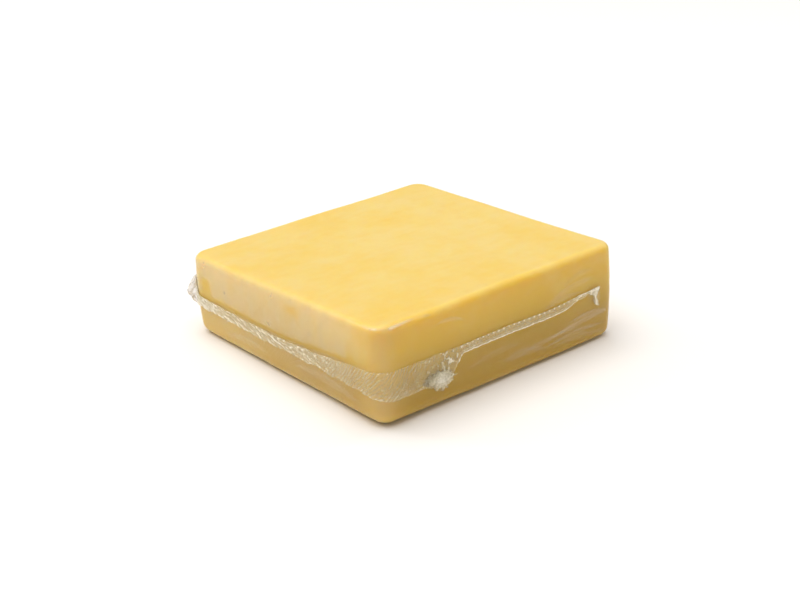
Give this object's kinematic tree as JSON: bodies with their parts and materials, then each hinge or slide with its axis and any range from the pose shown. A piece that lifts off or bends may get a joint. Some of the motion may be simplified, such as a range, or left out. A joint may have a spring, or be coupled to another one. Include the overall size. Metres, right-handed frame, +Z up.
{
  "type": "wrapped cheddar block",
  "caption": "Squat, nearly square block of pale yellow cheddar, shrink-wrapped in clear film with a crimped seam round its sides.",
  "frame": {"origin": "middle of the flat base, on the plane the block rests on", "axes": "+Z up; +X along the block's longer side, towards the end where the film has its fold and no seam; -Y is the front, the long side with the tuft in its seam"},
  "size_m": [0.1124, 0.1072, 0.0348],
  "materials": {
    "cheese": "soft waxy sheen, light shining a little way into it",
    "film": "clear glossy shrink film, whitish where it is crimped"
  },
  "bodies": {
    "root": {"cheese": "cheese", "film_seam": "film"}
  },
  "joints": []
}
